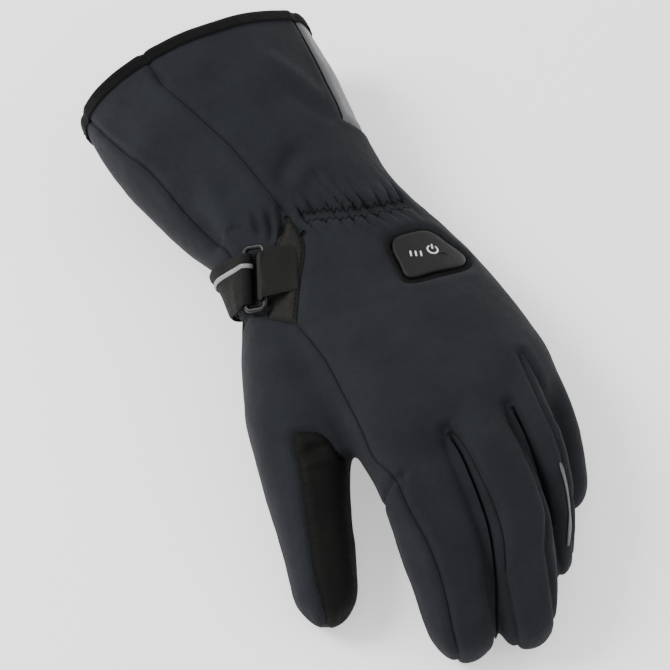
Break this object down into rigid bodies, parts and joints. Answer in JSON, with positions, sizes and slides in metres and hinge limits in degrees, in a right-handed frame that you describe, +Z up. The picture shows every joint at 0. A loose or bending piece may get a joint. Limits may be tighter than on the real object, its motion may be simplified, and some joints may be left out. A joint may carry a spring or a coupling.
{
  "type": "heated glove",
  "caption": "Padded left-hand heated winter glove with a long flared gauntlet, a pad button on the back, a wrist strap through a ring and a leather thumb and palm.",
  "frame": {"origin": "middle of the glove's outline, on the surface it lies on", "axes": "+Z up, out of the back of the hand; +Y from the fingertips to the open cuff; the thumb points to -X"},
  "size_m": [0.1664, 0.3414, 0.0836],
  "materials": {
    "shell_cloth": "soft matt softshell, charcoal with a slight blue cast",
    "reflective_cloth": "grey retroreflective cloth, satin",
    "patch_cloth": "smooth dark synthetic leather",
    "palm_leather": "dark synthetic leather, satin",
    "binding_tape": "knitted tape, matt",
    "button_recess": "matt, in a sunk stitched border",
    "button_rubber": "soft rubber, satin",
    "strap_webbing": "coated webbing, satin",
    "piping": "light grey reflective piping",
    "ring_plastic": "dark moulded ring, satin"
  },
  "bodies": {
    "root": {"back_panel": "shell_cloth", "gauntlet_gusset": "shell_cloth", "gauntlet_under_panel": "shell_cloth", "gauntlet_reflective_panel": "reflective_cloth", "wrist_patch": "patch_cloth", "thumb_side_panel": "shell_cloth", "thumb_leather_panel": "palm_leather", "index_side_panel": "shell_cloth", "palm_panel": "palm_leather", "fourchette_index_middle": "shell_cloth", "fourchette_middle_ring": "shell_cloth", "fourchette_ring_little": "shell_cloth", "cuff_binding": "binding_tape", "button_border": "button_recess", "button_pad": "button_rubber", "wrist_strap": "strap_webbing", "strap_piping": "piping", "strap_ring": "ring_plastic", "ring_keeper": "strap_webbing"}
  },
  "joints": []
}
